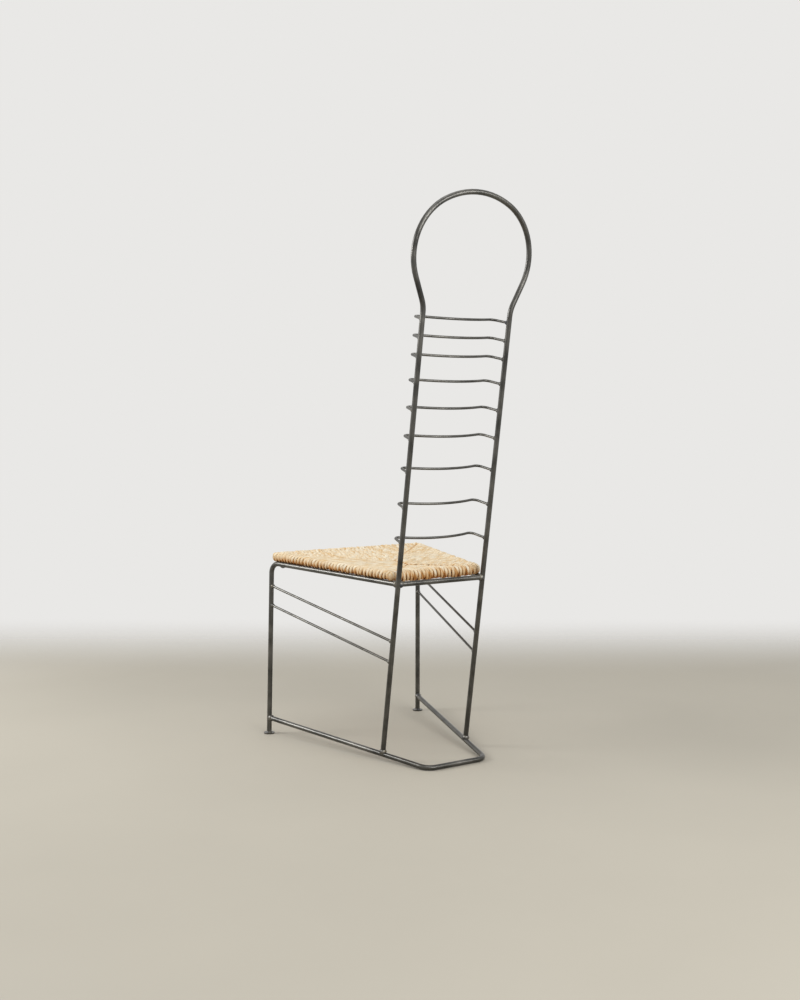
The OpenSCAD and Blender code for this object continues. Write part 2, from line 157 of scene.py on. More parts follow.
def ramp(node, stops):
    """Sets the stops of a Color Ramp, each a place and a colour or a grey value."""
    elements = node.color_ramp.elements
    while len(elements) < len(stops):
        elements.new(0.5)
    for element, (place, value) in zip(elements, stops):
        element.position = place
        element.color = value if hasattr(value, "__len__") else (value, value, value, 1)
    return node.outputs["Color"]


def new_material(name):
    """An empty material, its node tree and its Principled shader."""
    material = bpy.data.materials.new(name)
    material.use_nodes = True
    tree = material.node_tree
    return material, tree, tree.nodes["Principled BSDF"]


def per_mm(size):
    """Scale of a texture whose features are to be size millimetres wide."""
    return 1 / (size * MM)


def rolled_steel(name, grain, painted_lift=0.0, bend_height=None, grain_above=None):
    """Hot rolled mild steel rod, wiped and clear coated. The eye gets a dark grey with cloudy
    mill scale about 45 mm wide, faint drawn streaks along the rod and a soft sheen. grain draws
    a pattern out along the rod, and a rod that is bent has another grain above its bend."""
    streaks_share = 0.28
    colours = bpy.context.scene.chair_colours
    material, tree, shader = new_material(name)
    place = add(tree, "TexCoord").outputs["Object"]
    clouds = add(tree, "TexNoise", {}, {"Vector": place, "Scale": per_mm(45), "Detail": 4.0,
                                        "Roughness": 0.5})
    along = add(tree, "Mapping", {"vector_type": "POINT"},
                {"Vector": place, "Scale": grain}).outputs["Vector"]
    if bend_height:
        above = add(tree, "Mapping", {"vector_type": "POINT"}, {"Vector": place, "Scale": grain_above})
        height = add(tree, "SeparateXYZ", {}, {"Vector": place}).outputs["Z"]
        past = add(tree, "Math", {"operation": "GREATER_THAN"}, {0: height, 1: bend_height})
        along = add(tree, "Mix", {"data_type": "VECTOR"},
                    {0: past.outputs["Value"], 4: along, 5: above.outputs["Vector"]}).outputs[1]
    streaks = add(tree, "TexNoise", {}, {"Vector": along, "Scale": per_mm(2.5), "Detail": 3.0})
    grit = add(tree, "TexNoise", {}, {"Vector": place, "Scale": per_mm(1.2), "Detail": 2.0})
    mixed = add(tree, "Mix", {"data_type": "FLOAT"},
                {0: streaks_share, 2: clouds.outputs["Fac"], 3: streaks.outputs["Fac"]})
    # The lift moves the ramp to paler tones: a painted highlight for slim rods that catch more light
    tone = ramp(add(tree, "ValToRGB", {}, {"Fac": mixed.outputs[0]}),
                [(0.3 - painted_lift, colours.steel_dark), (0.68 - painted_lift, colours.steel_light)])
    tree.links.new(tone, shader.inputs["Base Color"])
    rough = add(tree, "MapRange", {}, {"Value": mixed.outputs[0], "From Min": 0.3, "From Max": 0.7,
                                       "To Min": 0.3, "To Max": 0.4})
    tree.links.new(rough.outputs["Result"], shader.inputs["Roughness"])
    shader.inputs["Metallic"].default_value = 1.0
    shader.inputs["Coat Weight"].default_value = 0.35
    shader.inputs["Coat Roughness"].default_value = 0.18
    relief = add(tree, "Math", {"operation": "ADD"}, {0: streaks.outputs["Fac"], 1: grit.outputs["Fac"]})
    bump = add(tree, "Bump", {}, {"Strength": 0.06, "Distance": 0.12 * MM, "Height": relief.outputs["Value"]})
    tree.links.new(bump.outputs["Normal"], shader.inputs["Normal"])
    return material


def brushed_weld(name):
    """Welded steel, wire brushed. The eye gets a metal paler than the rod, uneven from bead to
    bead, with brush marks under 1 mm wide and faint straw and blue heat tint."""
    colours = bpy.context.scene.chair_colours
    material, tree, shader = new_material(name)
    place = add(tree, "TexCoord").outputs["Object"]
    tint = add(tree, "TexNoise", {}, {"Vector": place, "Scale": per_mm(14), "Detail": 2.0})
    tone = ramp(add(tree, "ValToRGB", {}, {"Fac": tint.outputs["Fac"]}),
                [(0.34, linear("4a4c50")), (0.48, colours.weld), (0.6, linear("73716b")),
                 (0.72, linear("655d4e"))])
    tree.links.new(tone, shader.inputs["Base Color"])
    shader.inputs["Metallic"].default_value = 1.0
    brush = add(tree, "TexNoise", {}, {"Vector": place, "Scale": per_mm(0.8), "Detail": 3.0})
    rough = add(tree, "MapRange", {}, {"Value": brush.outputs["Fac"], "To Min": 0.28, "To Max": 0.52})
    tree.links.new(rough.outputs["Result"], shader.inputs["Roughness"])
    # A wave texture repeats at about 0.31 of its scale, so this is a swell about 9 mm long
    swell = add(tree, "TexWave", {"wave_type": "RINGS", "rings_direction": "SPHERICAL"},
                {"Vector": place, "Scale": per_mm(30), "Distortion": 2.0, "Detail": 2.0})
    relief = add(tree, "Math", {"operation": "MULTIPLY_ADD"},
                 {0: brush.outputs["Fac"], 1: 0.3, 2: swell.outputs["Fac"]})
    bump = add(tree, "Bump", {}, {"Strength": 0.8, "Distance": 0.4 * MM, "Height": relief.outputs["Value"]})
    tree.links.new(bump.outputs["Normal"], shader.inputs["Normal"])
    return material


def zinc_plate(name):
    """Zinc plated steel screws. The eye gets a pale bluish metal, slightly mottled."""
    colours = bpy.context.scene.chair_colours
    material, tree, shader = new_material(name)
    place = add(tree, "TexCoord").outputs["Object"]
    mottle = add(tree, "TexNoise", {}, {"Vector": place, "Scale": per_mm(3), "Detail": 3.0})
    tone = ramp(add(tree, "ValToRGB", {}, {"Fac": mottle.outputs["Fac"]}),
                [(0.35, linear("8f9394")), (0.6, colours.zinc)])
    tree.links.new(tone, shader.inputs["Base Color"])
    rough = add(tree, "MapRange", {}, {"Value": mottle.outputs["Fac"], "To Min": 0.25, "To Max": 0.45})
    tree.links.new(rough.outputs["Result"], shader.inputs["Roughness"])
    shader.inputs["Metallic"].default_value = 1.0
    return material


def planed_beech(name, grain):
    """Planed beech, unfinished. The eye gets a pinkish tan with rings about 6 mm wide that run
    along the board, and short dark flecks."""
    colours = bpy.context.scene.chair_colours
    material, tree, shader = new_material(name)
    place = add(tree, "TexCoord").outputs["Object"]
    along = add(tree, "Mapping", {"vector_type": "POINT"}, {"Vector": place, "Scale": grain})
    rings = add(tree, "TexNoise", {}, {"Vector": along.outputs["Vector"], "Scale": per_mm(6), "Detail": 3.0,
                                       "Distortion": 0.6})
    tone = ramp(add(tree, "ValToRGB", {}, {"Fac": rings.outputs["Fac"]}),
                [(0.35, colours.beech), (0.65, linear("e0bf94"))])
    flecks = add(tree, "TexNoise", {}, {"Vector": along.outputs["Vector"], "Scale": per_mm(0.9),
                                        "Detail": 1.0})
    mask = ramp(add(tree, "ValToRGB", {}, {"Fac": flecks.outputs["Fac"]}), [(0.6, 0.0), (0.7, 1.0)])
    final = add(tree, "Mix", {"data_type": "RGBA", "blend_type": "MULTIPLY"},
                {0: mask, 6: tone, 7: linear("b08a62")})
    tree.links.new(final.outputs[2], shader.inputs["Base Color"])
    shader.inputs["Roughness"].default_value = 0.62
    bump = add(tree, "Bump", {}, {"Strength": 0.2, "Distance": 0.1 * MM, "Height": flecks.outputs["Fac"]})
    tree.links.new(bump.outputs["Normal"], shader.inputs["Normal"])
    return material


def dry_rush(name):
    """Dried bulrush leaves, twisted by hand. The eye gets pale straw to golden strands, each
    its own tone, with streaks 1 to 3 mm wide along the leaves, brown stains and a waxy sheen.
    Painted shade browns the grooves and the seams, and with the rush's own yellowing makes the
    lower side of the edges duller and more golden."""
    colours = bpy.context.scene.chair_colours
    material, tree, shader = new_material(name)
    fibre = add(tree, "Attribute", {"attribute_name": "fibre"}).outputs["Vector"]
    strand = add(tree, "Attribute", {"attribute_name": "strand"}).outputs["Fac"]
    lowness = add(tree, "Attribute", {"attribute_name": "lowness"}).outputs["Fac"]
    crevice = add(tree, "Attribute", {"attribute_name": "crevice"}).outputs["Fac"]
    # A strand's tone, spread far out, gives it a part of the noise that no other strand has
    seed = add(tree, "Math", {"operation": "MULTIPLY"}, {0: strand, 1: 97.0}).outputs["Value"]

    leaves = add(tree, "Mapping", {"vector_type": "POINT"}, {"Vector": fibre, "Scale": (1, 1, 0.05)})
    leaf = add(tree, "TexNoise", {"noise_dimensions": "4D"},
               {"Vector": leaves.outputs["Vector"], "W": seed, "Scale": per_mm(3.2), "Detail": 2.0,
                "Roughness": 0.5})
    veins = add(tree, "TexNoise", {"noise_dimensions": "4D"},
                {"Vector": leaves.outputs["Vector"], "W": seed, "Scale": per_mm(0.9), "Detail": 2.0})
    stain = add(tree, "TexNoise", {"noise_dimensions": "4D"},
                {"Vector": fibre, "W": seed, "Scale": per_mm(26), "Detail": 3.0, "Roughness": 0.6})

    # Each strand's own tone, shifted by its leaves
    mixed = add(tree, "Mix", {"data_type": "FLOAT"}, {0: 0.74, 2: strand, 3: leaf.outputs["Fac"]})
    tone = ramp(add(tree, "ValToRGB", {}, {"Fac": mixed.outputs[0]}),
                [(0.24, colours.rush_gold), (0.46, colours.rush_straw), (0.68, colours.rush_pale)])
    veined = add(tree, "MapRange", {}, {"Value": veins.outputs["Fac"], "From Min": 0.3, "From Max": 0.7,
                                        "To Min": 0.82, "To Max": 1.08})
    lined = add(tree, "Mix", {"data_type": "RGBA", "blend_type": "MULTIPLY"},
                {0: 1.0, 6: tone, 7: veined.outputs["Result"]})
    spots = ramp(add(tree, "ValToRGB", {}, {"Fac": stain.outputs["Fac"]}), [(0.6, 0.0), (0.78, 0.55)])
    stained = add(tree, "Mix", {"data_type": "RGBA"}, {0: spots, 6: lined.outputs[2], 7: colours.rush_brown})
    # The lower side of the edges is painted duller and more golden: partly the rush's own yellowing, partly
    # painted shade, as less light falls there
    low = add(tree, "Math", {"operation": "MULTIPLY"}, {0: lowness, 1: 0.8})
    golden = add(tree, "Mix", {"data_type": "RGBA", "blend_type": "MULTIPLY"},
                 {0: low.outputs["Value"], 6: stained.outputs[2], 7: linear("dcae64")})
    # Painted shade browns and darkens the grooves between strands and plies, and the seams where strands
    # dive, most of all low on the edges
    painted_groove_shade = ramp(add(tree, "ValToRGB", {}, {"Fac": crevice}),
                 [(0.0, linear("ffffff")), (0.35, linear("dab074")), (0.7, linear("91622c")),
                  (1.0, linear("4c300f"))])
    final = add(tree, "Mix", {"data_type": "RGBA", "blend_type": "MULTIPLY"},
                {0: 1.0, 6: golden.outputs[2], 7: painted_groove_shade})
    tree.links.new(final.outputs[2], shader.inputs["Base Color"])

    rough = add(tree, "MapRange", {}, {"Value": leaf.outputs["Fac"], "To Min": 0.5, "To Max": 0.8})
    tree.links.new(rough.outputs["Result"], shader.inputs["Roughness"])
    shader.inputs["Specular IOR Level"].default_value = 0.35
    relief = add(tree, "Math", {"operation": "MULTIPLY_ADD"},
                 {0: veins.outputs["Fac"], 1: 0.5, 2: leaf.outputs["Fac"]})
    bump = add(tree, "Bump", {}, {"Strength": 0.55, "Distance": 0.5 * MM, "Height": relief.outputs["Value"]})
    tree.links.new(bump.outputs["Normal"], shader.inputs["Normal"])
    return material


def loose_rush(name):
    """Chopped dry rush that is packed under the weave. The eye gets a dull brown straw heap."""
    colours = bpy.context.scene.chair_colours
    material, tree, shader = new_material(name)
    place = add(tree, "TexCoord").outputs["Object"]
    along = add(tree, "Mapping", {"vector_type": "POINT"}, {"Vector": place, "Scale": (1, 0.15, 1)})
    straws = add(tree, "TexNoise", {}, {"Vector": along.outputs["Vector"], "Scale": per_mm(2.5),
                                        "Detail": 4.0, "Distortion": 1.5})
    tone = ramp(add(tree, "ValToRGB", {}, {"Fac": straws.outputs["Fac"]}),
                [(0.35, linear("5a3f22")), (0.65, colours.rush_gold)])
    tree.links.new(tone, shader.inputs["Base Color"])
    shader.inputs["Roughness"].default_value = 0.85
    bump = add(tree, "Bump", {}, {"Strength": 0.8, "Distance": 1.5 * MM, "Height": straws.outputs["Fac"]})
    tree.links.new(bump.outputs["Normal"], shader.inputs["Normal"])
    return material


def dress_node(name, material):
    """Gives a CAD node its material."""
    mesh = NODES[name].data
    mesh.materials.clear()
    mesh.materials.append(material)


# The rush pad

# How far in from the edge's turn the dip behind it is full, how many batten widths in from the
# edge the sag is full, and the underside's share of both
DIP_WIDTH = 14 * MM
SAG_FULL = 5
UNDER_SAG = 0.4


def seat_matrix():
    """Turns seat coordinates, x across, y along the rails and z square to them, to the chair's."""
    seat = bpy.context.scene.chair_seat
    return Matrix.Translation((0, seat.uprights_y, seat.rails_z)) @ Matrix.Rotation(-seat.slope, 4, "X")


def side_at(y):
    """Half the pad's width at y."""
    seat = bpy.context.scene.chair_seat
    return seat.rear_half + (seat.rear_y - y) * math.tan(seat.taper)


def inset_at(x, y):
    """Distance of a point of the pad from the pad's nearest edge."""
    seat = bpy.context.scene.chair_seat
    return min(seat.rear_y - y, y - seat.front_y, (side_at(y) - abs(x)) * math.cos(seat.taper))


def sag_at(x, y):
    """How far the top has sunk at a point: a little behind the rolled edges, and more where
    no wood lies under it."""
    seat, rush = bpy.context.scene.chair_seat, bpy.context.scene.chair_rush
    inset = inset_at(x, y)
    dip = rush.roll_dip * smooth(seat.edge_r, seat.edge_r + DIP_WIDTH, inset)
    return dip + (rush.sag - rush.roll_dip) * smooth(seat.batten_w, SAG_FULL * seat.batten_w, inset)


def front_strand(u):
    """How a strand over the front edge runs: its reach to the diagonal, and its place at a
    distance w in from the edge."""
    seat = bpy.context.scene.chair_seat
    return seat.front_half - abs(u), lambda side, w: (u + side, seat.front_y + w)


def rear_strand(u):
    """As front_strand, for the rear edge."""
    seat = bpy.context.scene.chair_seat
    return seat.rear_half - abs(u), lambda side, w: (u + side, seat.rear_y - w)


def side_strand(u, hand):
    """As front_strand, for the left or the right edge. Its diagonals run from the corners, and
    between them it reaches the middle."""
    seat = bpy.context.scene.chair_seat
    diagonal = max(seat.rear_half - (seat.rear_y - u), seat.front_half - (u - seat.front_y), 0.0)
    skew = 1 / math.cos(seat.taper)
    return (side_at(u) - diagonal) / skew, lambda side, w: (hand * (side_at(u) - w * skew), u + side)


def corner_fan(hand, at_front, pitch):
    """As front_strand, for each of the strands that fan out round a corner."""
    seat = bpy.context.scene.chair_seat
    if at_front:
        half, edge_y, inward = seat.front_half, seat.front_y, 1
    else:
        half, edge_y, inward = seat.rear_half, seat.rear_y, -1
    half_angle = math.pi / 4 - inward * seat.taper / 2
    bisector = Vector((-hand * math.cos(half_angle), inward * math.sin(half_angle)))
    centre = Vector((hand * half, edge_y)) + bisector * seat.corner_r / math.sin(half_angle)
    sweep = math.pi - 2 * half_angle
    count = max(round(sweep * seat.corner_r / pitch), 1)
    for i in range(count):
        ahead = Matrix.Rotation(((i + 0.5) / count - 0.5) * sweep, 2) @ bisector
        aside = Vector((-ahead.y, ahead.x))
        yield seat.edge_r, lambda side, w, ahead=ahead, aside=aside: tuple(
            centre + ahead * (w - seat.corner_r) + aside * side)


def round_off(value, power):
    """A sine or cosine on a rounder square: power 1 leaves the circle, and less fills it out."""
    return math.copysign(abs(value) ** power, value)


def straight_tube(bm, total, sides, step):
    """Adds a straight closed tube of radius 1 along Z, from 0 to total, and returns its verts."""
    before = len(bm.verts)
    made = bmesh.ops.create_cone(bm, cap_ends=True, segments=sides, radius1=1, radius2=1, depth=total,
                                 matrix=Matrix.Translation((0, 0, total / 2)))
    long_edges = {e for v in made["verts"] for e in v.link_edges if e.verts[0].co.z != e.verts[1].co.z}
    bmesh.ops.subdivide_edges(bm, edges=list(long_edges), cuts=max(round(total / step), 2))
    bm.verts.ensure_lookup_table()
    return bm.verts[before:]


# How an edge's strands lie: the rise of the roll over the top, the drop behind it, how far the
# underside hangs and how far in from the edge that ends, a strand's width as a share of its pitch,
# and how much painted shade browns the grooves halfway down the edge and where the strands dive at
# the seams
Edge = namedtuple("Edge", "crown drop hang hang_fade packing parting seam")

# How much strands differ from each other, as the least and the most of their usual size
THICKNESS_SPREAD = (0.95, 1.06)
WIDTH_SPREAD = (0.93, 1.04)
RISE_SPREAD = (0.6, 1.3)
HANG_SPREAD = (0.6, 1.25)
TWIST_SPREAD = (0.8, 1.25)

# How uneven a strand is along its length: lumps, as a share of its size, and wanderings to the
# side and up or down. The rows keep the two kinds of wandering apart in the noise, and the span
# keeps the strands apart
LUMP = 0.09
LUMP_LENGTH = 14 * MM
SIDE_WANDER = 0.45 * MM
SIDE_WANDER_LENGTH = 45 * MM
SIDE_ROW = 3.1
RISE_WANDER = 0.35 * MM
RISE_WANDER_LENGTH = 30 * MM
RISE_ROW = 7.7
NOISE_SPAN = 1000

# The section: how narrow the groove between the plies is, how much a strand plumps out on the
# turn, and how far it is pressed into the pad
GROOVE_POWER = 3
PLUMP = 0.25
PRESSED = 0.2 * MM

# The least run of a strand before its tuck. The ends: their length in tucks, their size as a
# share, and how far they dive, with more of it where no batten lies under them
LEAST_RUN = 1 * MM
END_TUCKS = 2.2
END_SIZE = 0.55
DIVE = 2.4 * MM
DIVE_PAST_WOOD = 4.0 * MM

# How near a corner, in edge radii, a strand starts to lose its edge's own form, and to pile up
CLEAR_OF_CORNER = 3
CORNER_PILE_REACH = 5

# Widths of the roll on top and of the drop behind it, from the edge's turn inwards
ROLL_WIDTH = 13 * MM
DROP_FROM = 4 * MM
DROP_TO = 20 * MM

# The strand's radius in the coordinates of the pattern on it
FIBRE_R = 2.5 * MM

# Where round the turn the golden lower side, partly the rush's yellowing and partly painted shade,
# begins and is full, how far in it fades below and to what share, and the share of it that the
# corners have
LOW_FROM = 0.33 * math.pi
LOW_TO = 0.85 * math.pi
LOW_FADE = 50 * MM
LOW_INSIDE = 0.5
LOW_AT_CORNER = 0.8

# How much painted shade browns the grooves everywhere and low on the edge, the share that the
# corners have, how far out on a strand the groove beside it starts, and how much painted shade
# browns the groove between the plies, as a share of that one
GROOVE_SHADE = 0.06
GROOVE_SHADE_LOW = 0.7
SHADE_AT_CORNER = 0.5
GROOVE_FROM = 0.6
PLY_GROOVE = 0.8

# Where on the way to its sunken end, as a share, a strand starts to darken with painted shade at the seam and
# is fully darkened
SEAM_FROM = 0.1
SEAM_FULL = 0.5


def lay_strand(bm, layers, reach, place, pitch, edge, draw):
    """Adds one strand: from under the strands that cross it on top, out over the pad's round
    edge, and back below. edge says how the edge's roll swells and hangs, and draw gives the
    strand's own random numbers."""
    seat, rush = bpy.context.scene.chair_seat, bpy.context.scene.chair_rush
    thick = rush.thickness / 2 * draw.uniform(*THICKNESS_SPREAD)
    wide = pitch / 2 * edge.packing * draw.uniform(*WIDTH_SPREAD)
    clear = smooth(seat.edge_r, CLEAR_OF_CORNER * seat.edge_r, reach)
    piled = 1 - smooth(0, CORNER_PILE_REACH * seat.edge_r, reach)
    crown = (edge.crown * clear + rush.pile * piled) * draw.uniform(*RISE_SPREAD)
    hang = (edge.hang * clear + rush.pile * (1 - clear)) * draw.uniform(*HANG_SPREAD)
    # Its length: a run on top, a bow round the edge and the same run below
    turn_r = seat.edge_r - rush.thickness / 2
    run = max(reach - seat.edge_r, LEAST_RUN) + rush.tuck
    bow = math.pi * turn_r
    total = 2 * run + bow
    tail = END_TUCKS * rush.tuck
    dive = DIVE + DIVE_PAST_WOOD * smooth(seat.batten_w, 2 * seat.batten_w, reach)
    tones = (draw.random(), draw.random())
    phase = draw.uniform(0, 2 * math.pi)
    wander = draw.uniform(0, NOISE_SPAN)
    turns = draw.uniform(*TWIST_SPREAD) * 2 * math.pi / rush.twist

    for vert in straight_tube(bm, total, rush.sides, rush.step):
        column = math.atan2(vert.co.y, vert.co.x)
        s = vert.co.z
        bend = min(max((s - run) / turn_r, 0), math.pi)
        near_end = smooth(0, tail, min(s, total - s))

        # The strand's own section: two plies that turn round each other, flattened
        angle = column + phase + turns * s
        between = (0.5 + 0.5 * math.cos(2 * column)) ** GROOVE_POWER
        groove = 1 - rush.ply * between
        lump = 1 + LUMP * noise.noise((s / LUMP_LENGTH, math.cos(column), wander + math.sin(column)))
        size = groove * lump * (END_SIZE + (1 - END_SIZE) * near_end)
        plump = 1 + PLUMP * math.sin(bend)
        side = round_off(math.cos(angle), rush.square)
        across = wide * side * size
        across += SIDE_WANDER * noise.noise((s / SIDE_WANDER_LENGTH, wander, SIDE_ROW))
        up = thick * plump * round_off(math.sin(angle), rush.square) * size
        up += RISE_WANDER * noise.noise((s / RISE_WANDER_LENGTH, wander, RISE_ROW)) - PRESSED

        # Its place along the path: the top, the turn round the edge and the underside
        out = round_off(math.sin(bend), rush.square)
        level = round_off(math.cos(bend), rush.square)
        w = seat.edge_r + max(run - s, 0) + max(s - run - bow, 0) - turn_r * out - up * math.sin(bend)
        x, y = place(across, w)
        z = seat.mid_z + turn_r * level + up * math.cos(bend)
        sink = dive * (1 - near_end)
        inward = max(w - seat.edge_r, 0)
        if bend < math.pi / 2:
            z += crown * math.cos(bend) * math.exp(-(inward / ROLL_WIDTH) ** 2) - sag_at(x, y) - sink
            z -= edge.drop * smooth(DROP_FROM, DROP_TO, inward)
        else:
            z += hang * math.cos(bend) * (1 - smooth(0, edge.hang_fade, inward))
            z += sink - UNDER_SAG * sag_at(x, y)
        vert.co = (x, y, z)

        # What the rush's material reads: the pattern's place, the ply's tone, the golden lower side with its
        # painted shade, and the painted shade in the grooves and at the seams
        vert[layers["fibre"]] = (FIBRE_R * math.cos(column), FIBRE_R * math.sin(column), s)
        vert[layers["strand"]] = tones[0] if math.sin(column) > 0 else tones[1]
        low = smooth(LOW_FROM, LOW_TO, bend) * (1 - LOW_INSIDE * smooth(0, LOW_FADE, inward))
        low *= LOW_AT_CORNER + (1 - LOW_AT_CORNER) * clear
        vert[layers["lowness"]] = low
        # Painted shade: in the grooves, halfway down and low on the edge, and where the strand dives at a
        # seam
        shade = max(smooth(GROOVE_FROM, 1.0, abs(side)), PLY_GROOVE * between)
        brown = shade * (GROOVE_SHADE + edge.parting * math.sin(bend) + GROOVE_SHADE_LOW * low)
        seam = edge.seam * smooth(SEAM_FROM, SEAM_FULL, 1 - near_end)
        kept = SHADE_AT_CORNER + (1 - SHADE_AT_CORNER) * clear
        vert[layers["crevice"]] = min(max(brown, seam), 1.0) * kept


def finish_mesh(bm, name, matrix, material):
    """Turns a bmesh into a smooth shaded piece in the chair's frame."""
    bmesh.ops.transform(bm, matrix=matrix, verts=bm.verts)
    bmesh.ops.recalc_face_normals(bm, faces=bm.faces)
    for face in bm.faces:
        face.smooth = True
    mesh = bpy.data.meshes.new(name)
    bm.to_mesh(mesh)
    bm.free()
    mesh.materials.append(material)
    piece = bpy.data.objects.new(name, mesh)
    bpy.context.scene.collection.objects.link(piece)
    return piece


def rush_mesh():
    """A bmesh with the layers that the rush's material reads."""
    bm = bmesh.new()
    layers = {"fibre": bm.verts.layers.float_vector.new("fibre")}
    for key in ("strand", "lowness", "crevice"):
        layers[key] = bm.verts.layers.float.new(key)
    return bm, layers


# The leaf ends that have sprung out: their least and most length and half width in millimetres,
# half their thickness, how much they taper and curl as shares, how deep the root lies in the
# weave, and the mesh's sides and ring step
LEAF_LENGTH = (7, 15)
LEAF_HALF_WIDTH = (0.9, 1.7)
LEAF_HALF_THICKNESS = 0.22 * MM
LEAF_TAPER = 0.9
LEAF_CURL = 0.25
LEAF_ROOT_DEPTH = 0.6 * MM
LEAF_SIDES = 6
LEAF_STEP = 2 * MM

# Where they are: the share of the edge's length that has them, and least and most in millimetres
# how far before the seam one springs out on top and how far its tip rises
LEAF_ALONG = 0.85
LEAF_FROM_SEAM = (4, 12)
LEAF_RISE = (0.5, 2)

# And under the pad: the least and most share of the way from the edge to the seam, the least and
# most hang in millimetres, how low the root lies, the most turn in radians from square to the
# edge, and how golden they are, partly as painted shade like the pad's underside
LEAF_INWARD = (0.1, 0.9)
LEAF_HANG = (1, 3.5)
LEAF_UNDER = 1.2 * MM
LEAF_TURN = 1.2
LEAF_LOWNESS = 0.5


def lay_loose_end(bm, layers, root, heading, lift, draw):
    """Adds the end of one leaf that has sprung out of the weave at root. It runs along heading,
    curls a little and lifts away, or hangs where lift is negative."""
    total = draw.uniform(*LEAF_LENGTH) * MM
    wide = draw.uniform(*LEAF_HALF_WIDTH) * MM
    curl = draw.uniform(-LEAF_CURL, LEAF_CURL) * total
    tone = draw.random()
    low = LEAF_LOWNESS if lift < 0 else 0.0
    for vert in straight_tube(bm, total, LEAF_SIDES, LEAF_STEP):
        s = vert.co.z
        t = s / total
        taper = math.sqrt(1 - LEAF_TAPER * t)
        across = vert.co.x * wide * taper + curl * t * t
        up = vert.co.y * LEAF_HALF_THICKNESS * taper + lift * t * t - LEAF_ROOT_DEPTH * (1 - t)
        vert[layers["fibre"]] = (vert.co.x * wide, vert.co.y * wide, s)
        vert[layers["strand"]] = tone
        vert[layers["lowness"]] = low
        vert.co = (root[0] + heading[0] * s - heading[1] * across,
                   root[1] + heading[1] * s + heading[0] * across, root[2] + up)


def loose_ends(material, seed, top_count, under_count):
    """Makes the leaf ends that stick out along the seams on top, and under the pad's edges."""
    seat = bpy.context.scene.chair_seat
    edges = ((front_strand, seat.front_half, 1), (rear_strand, seat.rear_half, -1))
    bm, layers = rush_mesh()
    draw = random.Random(seed)
    for i in range(top_count + under_count):
        on_top = i < top_count
        strand, half, inward = draw.choice(edges)
        reach, place = strand(draw.uniform(-LEAF_ALONG, LEAF_ALONG) * half)
        if on_top:
            x, y = place(0, max(reach - draw.uniform(*LEAF_FROM_SEAM) * MM, seat.edge_r))
            z = seat.mid_z + seat.edge_r - sag_at(x, y)
            lift = draw.uniform(*LEAF_RISE) * MM
            angle = draw.uniform(0, 2 * math.pi)
        else:
            x, y = place(0, seat.edge_r + draw.uniform(*LEAF_INWARD) * max(reach - seat.edge_r, 0))
            z = seat.mid_z - seat.edge_r - LEAF_UNDER
            lift = -draw.uniform(*LEAF_HANG) * MM
            # Roughly inwards from the edge
            angle = math.pi / 2 * inward + draw.uniform(-LEAF_TURN, LEAF_TURN)
        lay_loose_end(bm, layers, (x, y, z), (math.cos(angle), math.sin(angle)), lift, draw)
    piece = finish_mesh(bm, "rush_loose_ends", seat_matrix(), material)
    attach(piece, "root")


def weave_field(name, count, low, high, strand, edge, material, seed, corners=()):
    """Makes one of the four fields of strands, laid side by side along an edge, and the strands
    round some corners."""
    seat = bpy.context.scene.chair_seat
    bm, layers = rush_mesh()
    draw = random.Random(seed)
    pitch = (high - low) / count
    for i in range(count):
        reach, place = strand(low + (i + 0.5) * pitch)
        # The strands that fan out round a corner take the place of the shortest
        if reach > seat.corner_r:
            lay_strand(bm, layers, reach, place, pitch, edge, draw)
    for hand, at_front in corners:
        for reach, place in corner_fan(hand, at_front, pitch):
            lay_strand(bm, layers, reach, place, pitch, edge, draw)
    piece = finish_mesh(bm, name, seat_matrix(), material)
    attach(piece, "root")
    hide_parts("rush_weave")


# Operators

class CHAIR_OT_steel(bpy.types.Operator):
    """Gives the rods and the feet their rolled steel"""
    bl_idname = "chair.steel"
    bl_label = "Steel rods"

    def execute(self, context):
        # A pattern's scale along the rod, and how much paler the slim rods are painted: a painted highlight
        # for the light they catch
        lengthwise = 0.06
        paler = 0.05
        grain_up, grain_back, grain_across = (1, 1, lengthwise), (1, lengthwise, 1), (lengthwise, 1, 1)
        upright = rolled_steel("rolled_steel_upright", grain_up)
        level = rolled_steel("rolled_steel_front_to_back", grain_back)
        across = rolled_steel("rolled_steel_across", grain_across)
        slim_across = rolled_steel("rolled_steel_slats", grain_across, paler)
        slim_level = rolled_steel("rolled_steel_struts", grain_back, paler)
        leg_and_rail = rolled_steel("rolled_steel_legs", grain_up, bend_height=410 * MM,
                                    grain_above=grain_back)
        for name in ("back_frame", "left_foot", "right_foot"):
            dress_node(name, upright)
        for name in ("left_leg_and_rail", "right_leg_and_rail"):
            dress_node(name, leg_and_rail)
        dress_node("base_rod", level)
        dress_node("seat_lugs", level)
        for name in ("front_seat_rail", "back_seat_rail"):
            dress_node(name, across)
        for name in NODES:
            if name.startswith("slat_") and name != "slat_welds":
                dress_node(name, slim_across)
            if name.endswith("_strut"):
                dress_node(name, slim_level)
        return {"FINISHED"}


class CHAIR_OT_welds(bpy.types.Operator):
    """Gives the weld beads and the screws their metal"""
    bl_idname = "chair.welds"
    bl_label = "Welds and screws"

    def execute(self, context):
        weld = brushed_weld("brushed_weld")
        for name in NODES:
            if name.endswith("_welds"):
                dress_node(name, weld)
        dress_node("seat_screws", zinc_plate("zinc_plate"))
        return {"FINISHED"}


class CHAIR_OT_battens(bpy.types.Operator):
    """Gives the wooden frame inside the pad its beech"""
    bl_idname = "chair.battens"
    bl_label = "Battens and dowels"

    def execute(self, context):
        # A pattern's scale along the wood's grain
        lengthwise = 0.05
        across = planed_beech("planed_beech_across", (lengthwise, 1, 1))
        level = planed_beech("planed_beech_front_to_back", (1, lengthwise, 1))
        for name in ("front_batten", "back_batten", "batten_dowels"):
            dress_node(name, across)
        for name in ("left_batten", "right_batten"):
            dress_node(name, level)
        return {"FINISHED"}


